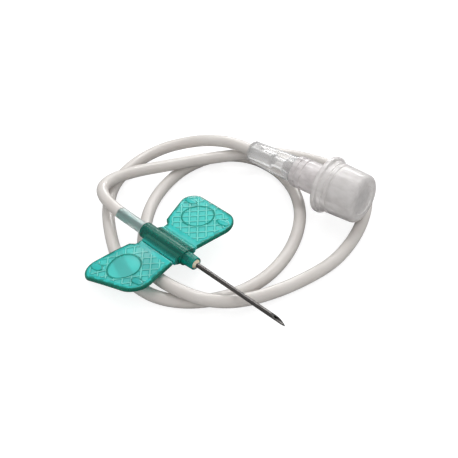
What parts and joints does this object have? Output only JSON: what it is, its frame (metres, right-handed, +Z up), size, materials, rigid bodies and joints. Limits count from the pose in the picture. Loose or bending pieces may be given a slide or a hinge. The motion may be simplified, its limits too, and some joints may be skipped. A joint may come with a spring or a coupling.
{
  "type": "butterfly needle",
  "caption": "Winged infusion needle: fine steel cannula in a green winged hub, soft clear tube in loose turns, luer hub with a screw cap.",
  "frame": {"origin": "on the cannula's axis where it leaves the hub's nose", "axes": "+X along the cannula to the needle's tip, +Z up, +Y towards the left wing"},
  "size_m": [0.0519, 0.055, 0.0118],
  "materials": {
    "cannula_steel": "drawn and ground",
    "hub_green": "clear green moulding",
    "wing_green": "clear green moulding, thin",
    "adhesive": "cured resin",
    "tube_clear": "soft clear tubing, slightly milky",
    "sleeve_clear": "soft clear socket",
    "luer_frosted": "frosted",
    "cap_frosted": "frosted"
  },
  "bodies": {
    "needle_body": {"needle_cannula": "cannula_steel", "winged_hub": "hub_green", "needle_adhesive": "adhesive", "tubing": "tube_clear", "tube_sleeve": "sleeve_clear", "luer_hub": "luer_frosted"},
    "left_wing_body": {"left_wing": "wing_green"},
    "right_wing_body": {"right_wing": "wing_green"},
    "cap_body": {"luer_cap": "cap_frosted"}
  },
  "joints": [
    {"name": "left_wing_fold", "type": "hinge", "parent": "needle_body", "child": "left_wing_body", "pos_m": [-0.0063, 0.0029, 0], "axis": [1, 0, 0], "range_deg": [0, 85]},
    {"name": "right_wing_fold", "type": "hinge", "parent": "needle_body", "child": "right_wing_body", "pos_m": [-0.0063, -0.0029, 0], "axis": [-1, 0, 0], "range_deg": [0, 85]},
    {"name": "cap_turn", "type": "hinge", "parent": "needle_body", "child": "cap_body", "pos_m": [0.00325, 0.02924, 0.00227], "axis": [0.9969, 0.0732, 0.0279], "range_deg": [0, 270]}
  ]
}
